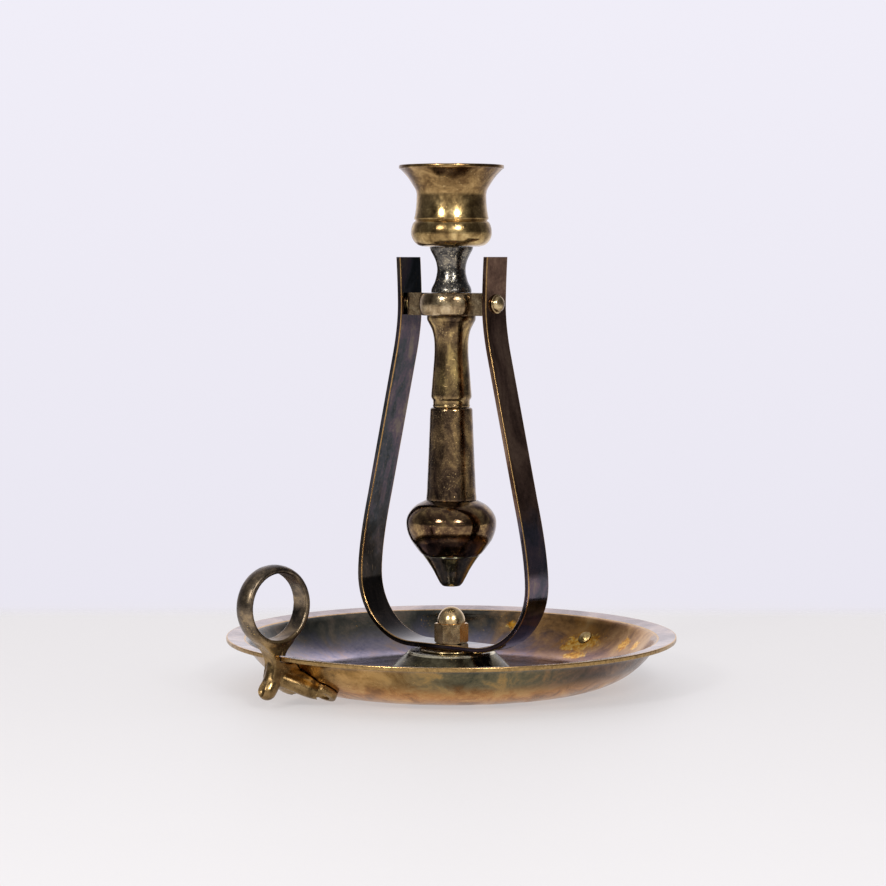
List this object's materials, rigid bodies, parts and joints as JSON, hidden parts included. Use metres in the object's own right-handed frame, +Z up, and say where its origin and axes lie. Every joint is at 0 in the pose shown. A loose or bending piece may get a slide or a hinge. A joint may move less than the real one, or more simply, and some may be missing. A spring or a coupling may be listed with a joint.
{
  "type": "gimballed brass candlestick",
  "caption": "Brass chamber candlestick whose weighted candle stem swings in a bent yoke over a shallow drip dish with a finger ring.",
  "frame": {"origin": "The centre of the dish's flat underside, on the flush head of the centre stud, where the candlestick stands.", "axes": "+Z up along the stud and the hanging stem. +X along the yoke's pivot axis. The handle points 100 degrees clockwise of +X, mostly towards -Y, and the hanging tab is opposite it."},
  "size_m": [0.1524, 0.1649, 0.175],
  "materials": {
    "dish_brass": "aged spun brass, mauve and green tarnish inside, orange and olive outside, worn gold patches and a thin bare lip",
    "cone_brass": "olive tarnished turned brass with a pale worn edge",
    "fixing_brass": "worn brass fixing with dark tarnish in its corners",
    "nut_brass": "bright pale polished brass",
    "handle_brass": "olive brown cast brass, darker in its hollows, one bright worn patch",
    "yoke_brass": "very dark brown oxidised strip brass with a blue-green bloom and bare gold edges",
    "collar_brass": "golden turned brass, tarnished at its ends",
    "neck_brass": "grey-green tarnished brass with fine pits and bare specks",
    "socket_brass": "golden brown polished brass with streaky tarnish",
    "stem_brass": "olive and golden brown turned brass with dark cloudy tarnish",
    "bob_brass": "dark red-brown tarnished brass, still glossy",
    "slug_lead": "dull grey cast lead"
  },
  "bodies": {
    "base": {"drip_dish": "dish_brass", "pedestal_cone": "cone_brass", "pedestal_washer": "fixing_brass", "centre_stud": "fixing_brass", "acorn_nut": "nut_brass", "handle_casting": "handle_brass", "handle_rivet_left": "fixing_brass", "handle_rivet_right": "fixing_brass", "hanging_tab": "fixing_brass", "hanging_tab_rivet": "fixing_brass"},
    "yoke": {"yoke_strap": "yoke_brass", "pivot_rivet_left": "fixing_brass", "pivot_rivet_right": "fixing_brass", "pivot_washer_left": "fixing_brass", "pivot_washer_right": "fixing_brass"},
    "stem": {"crossbar_collar": "collar_brass", "neck_spool": "neck_brass", "candle_socket": "socket_brass", "upper_stem": "stem_brass", "lower_stem": "stem_brass", "counterweight_bob": "bob_brass", "lead_slug": "slug_lead", "finial": "bob_brass", "tie_rod": "fixing_brass"}
  },
  "joints": [
    {"name": "yoke_swivel", "type": "hinge", "parent": "base", "child": "yoke", "pos_m": [0, 0, 0.0127], "axis": [0, 0, 1], "continuous": true},
    {"name": "stem_swing", "type": "hinge", "parent": "yoke", "child": "stem", "pos_m": [0, 0, 0.1286], "axis": [1, 0, 0], "continuous": true}
  ]
}
